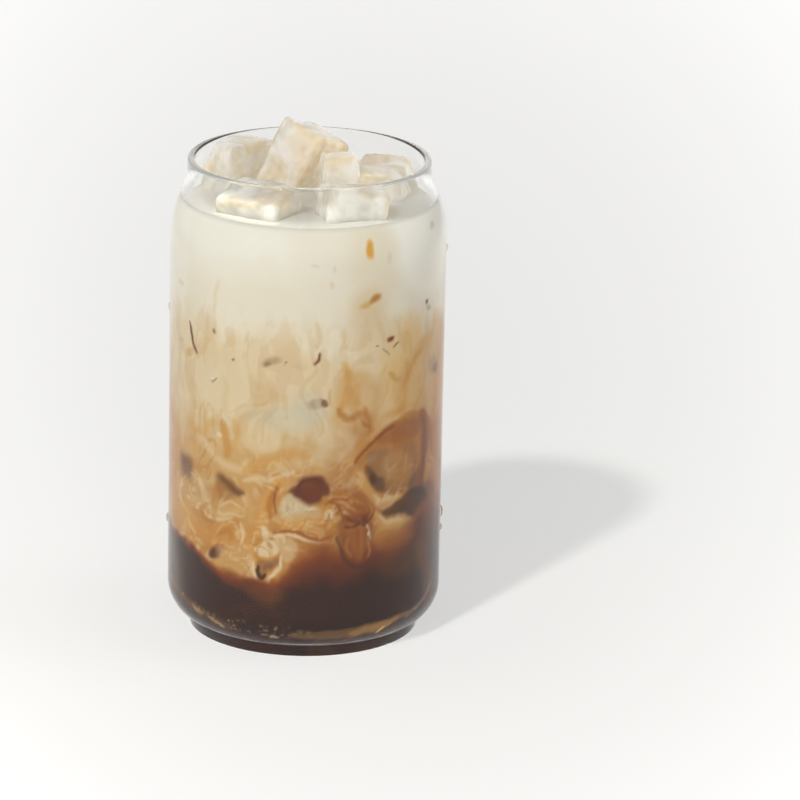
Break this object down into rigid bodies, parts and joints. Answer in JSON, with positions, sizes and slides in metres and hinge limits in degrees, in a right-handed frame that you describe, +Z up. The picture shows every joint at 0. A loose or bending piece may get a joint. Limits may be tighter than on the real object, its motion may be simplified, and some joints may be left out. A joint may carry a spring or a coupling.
{
  "type": "iced latte in a glass",
  "caption": "Layered iced milk coffee in a can-shaped clear tumbler, dark at the bottom, milky at the top, with ice standing out of it.",
  "frame": {"origin": "centre of the glass's foot, on the surface it stands on", "axes": "+Z up along the glass's axis; -Y towards the side that the picture shows"},
  "size_m": [0.076, 0.076, 0.1433],
  "materials": {
    "glass": "clear, smooth",
    "coffee": "dark liquid",
    "latte": "marbled liquid",
    "milk": "milky liquid",
    "ice": "wet, milky ice"
  },
  "bodies": {
    "root": {"glass": "glass", "coffee": "coffee", "latte": "latte", "milk": "milk", "ice_peak": "ice", "ice_left": "ice", "ice_right": "ice", "ice_middle": "ice", "ice_front_left": "ice", "ice_front_right": "ice"}
  },
  "joints": []
}
